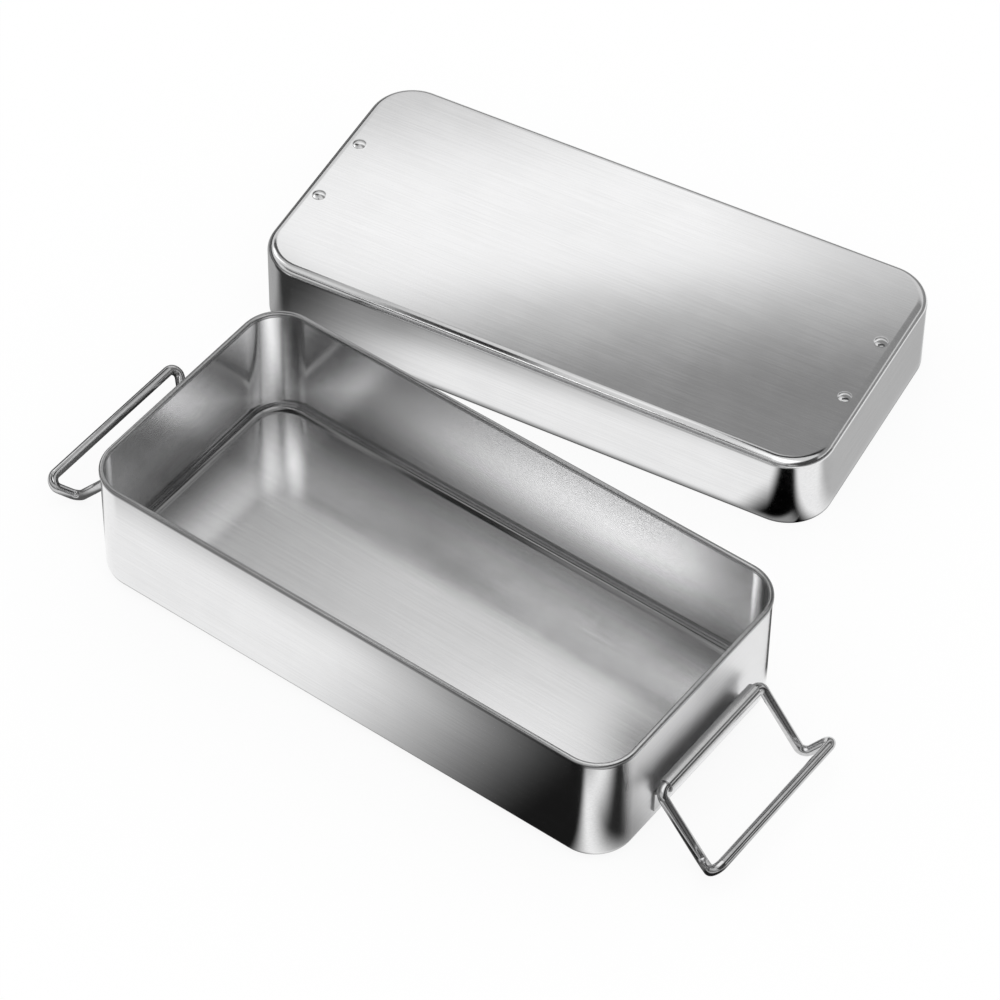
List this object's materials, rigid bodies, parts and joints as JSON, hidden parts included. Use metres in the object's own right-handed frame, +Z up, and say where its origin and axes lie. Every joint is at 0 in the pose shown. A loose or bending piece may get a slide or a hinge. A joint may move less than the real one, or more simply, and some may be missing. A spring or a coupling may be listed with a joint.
{
  "type": "instrument box",
  "caption": "Shallow stainless box with rounded corners and a rolled rim, a drawn cover lying beside it, and a swinging wire handle in a welded sleeve at each end.",
  "frame": {"origin": "middle of the underside of the box", "axes": "+X along the box, +Y across it towards the cover, +Z up"},
  "size_m": [0.4064, 0.3638, 0.067],
  "materials": {
    "pan": "satin",
    "cover": "satin",
    "bracket": "satin",
    "wire": "polished"
  },
  "bodies": {
    "box": {"box_body": "pan", "bracket_right": "bracket", "bracket_left": "bracket"},
    "cover": {"lid": "cover"},
    "handle_right": {"handle_right": "wire"},
    "handle_left": {"handle_left": "wire"}
  },
  "joints": [
    {"name": "lid_lift", "type": "slide", "parent": "box", "child": "cover", "axis": [0, 0, 1], "range_m": [0, 0.12]},
    {"name": "handle_right_swing", "type": "hinge", "parent": "box", "child": "handle_right", "pos_m": [0.15608, 0, 0.0322], "axis": [0, -1, 0], "range_deg": [-47, 142.05]},
    {"name": "handle_left_swing", "type": "hinge", "parent": "box", "child": "handle_left", "pos_m": [-0.15608, 0, 0.0322], "axis": [0, 1, 0], "range_deg": [-47, 142.05]}
  ]
}
